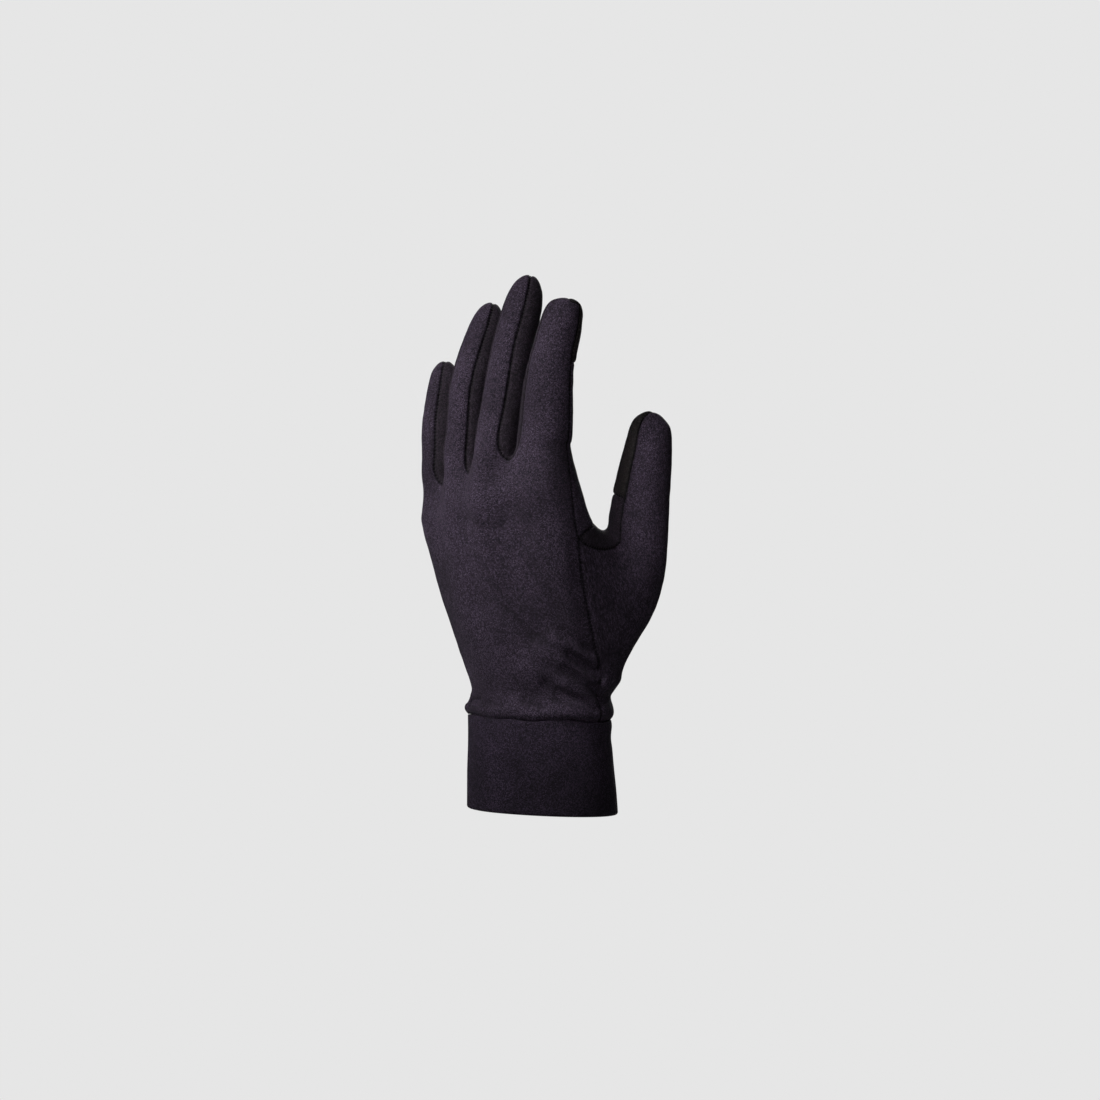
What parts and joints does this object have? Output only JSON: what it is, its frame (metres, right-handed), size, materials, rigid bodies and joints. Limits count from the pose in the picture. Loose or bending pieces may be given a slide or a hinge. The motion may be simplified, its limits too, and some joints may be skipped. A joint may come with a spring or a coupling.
{
  "type": "glove liner",
  "caption": "Close-fitting left-hand liner glove of dark stretch fabric, with a folded cuff, fourchettes between the fingers and touch patches on the thumb and index fingertips.",
  "frame": {"origin": "middle of the cuff's open end, where the hand goes in, at the level of the hem", "axes": "+Z from the hem to the fingertips, -Y the way that the back of the hand faces, +X the thumb's side"},
  "size_m": [0.1123, 0.0786, 0.2482],
  "materials": {
    "fabric": "matte knit, brushed",
    "patch": "matte knit, denser",
    "cuff": "matte knit, folded double"
  },
  "bodies": {
    "root": {"back_panel": "fabric", "palm_panel": "fabric", "fourchette_little_ring": "fabric", "fourchette_ring_middle": "fabric", "fourchette_middle_index": "fabric", "thumb_back_panel": "fabric", "thumb_front_panel": "fabric", "thumb_tip_patch": "patch", "index_tip_patch": "patch", "cuff_band": "cuff"}
  },
  "joints": []
}
